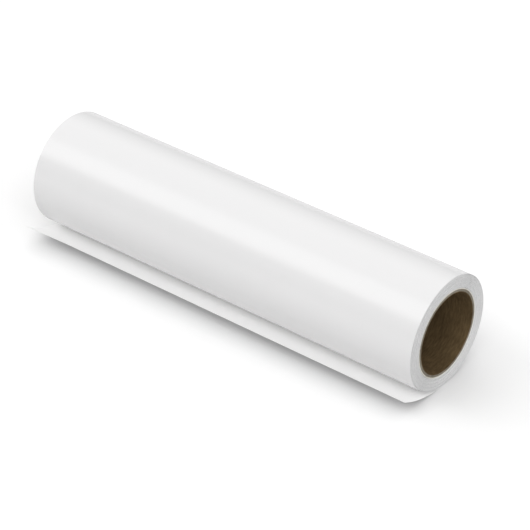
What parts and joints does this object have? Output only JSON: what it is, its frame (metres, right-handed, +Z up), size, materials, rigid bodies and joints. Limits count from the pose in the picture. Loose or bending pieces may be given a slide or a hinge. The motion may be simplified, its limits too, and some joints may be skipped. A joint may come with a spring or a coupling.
{
  "type": "roll of sign vinyl",
  "caption": "Roll of white self-adhesive sign vinyl on a spiral-wound paperboard core, lying on its side with its free end curling up.",
  "frame": {"origin": "middle of the roll's lowest flat, on the surface that it rests on", "axes": "+X along the roll's axis, +Y away from the free end, +Z up"},
  "size_m": [0.432, 0.1158, 0.1099],
  "materials": {
    "vinyl_film": "gloss",
    "release_liner": "satin",
    "web_edge": "satin",
    "core_board": "matte",
    "core_bore": "matte",
    "tape": "matte"
  },
  "bodies": {
    "last_turn": {"last_turn_film": "vinyl_film", "last_turn_liner": "release_liner"},
    "wound_roll": {"core_inner_ply": "core_bore", "core_body_ply_1": "core_board", "core_body_ply_2": "core_board", "core_body_ply_3": "core_board", "core_outer_ply": "core_board", "start_tape": "tape", "wound_web": "web_edge"},
    "lead_out": {"lead_out_film": "vinyl_film", "lead_out_liner": "release_liner"},
    "free_end": {"free_end_film": "vinyl_film", "free_end_liner": "release_liner"},
    "liner_flap": {"liner_flap": "release_liner"}
  },
  "joints": [
    {"name": "roll_turn", "type": "hinge", "parent": "last_turn", "child": "wound_roll", "pos_m": [0, 0, 0.055], "axis": [-1, 0, 0], "range_deg": [0, 360]},
    {"name": "web_feed", "type": "slide", "parent": "last_turn", "child": "lead_out", "axis": [0, -1, 0], "range_m": [0, 0.35]},
    {"name": "tail_lift", "type": "hinge", "parent": "lead_out", "child": "free_end", "pos_m": [0, -0.02185, 0.00217], "axis": [-1, 0, 0], "range_deg": [-23, 10], "stiffness_Nm_per_rad": 0.08},
    {"name": "liner_peel", "type": "hinge", "parent": "free_end", "child": "liner_flap", "pos_m": [0, -0.03541, 0.00556], "axis": [-1, 0, 0], "range_deg": [0, 21]}
  ],
  "couplings": [
    {"joint": "web_feed", "follows": "roll_turn", "m_per_rad": 0.055}
  ]
}
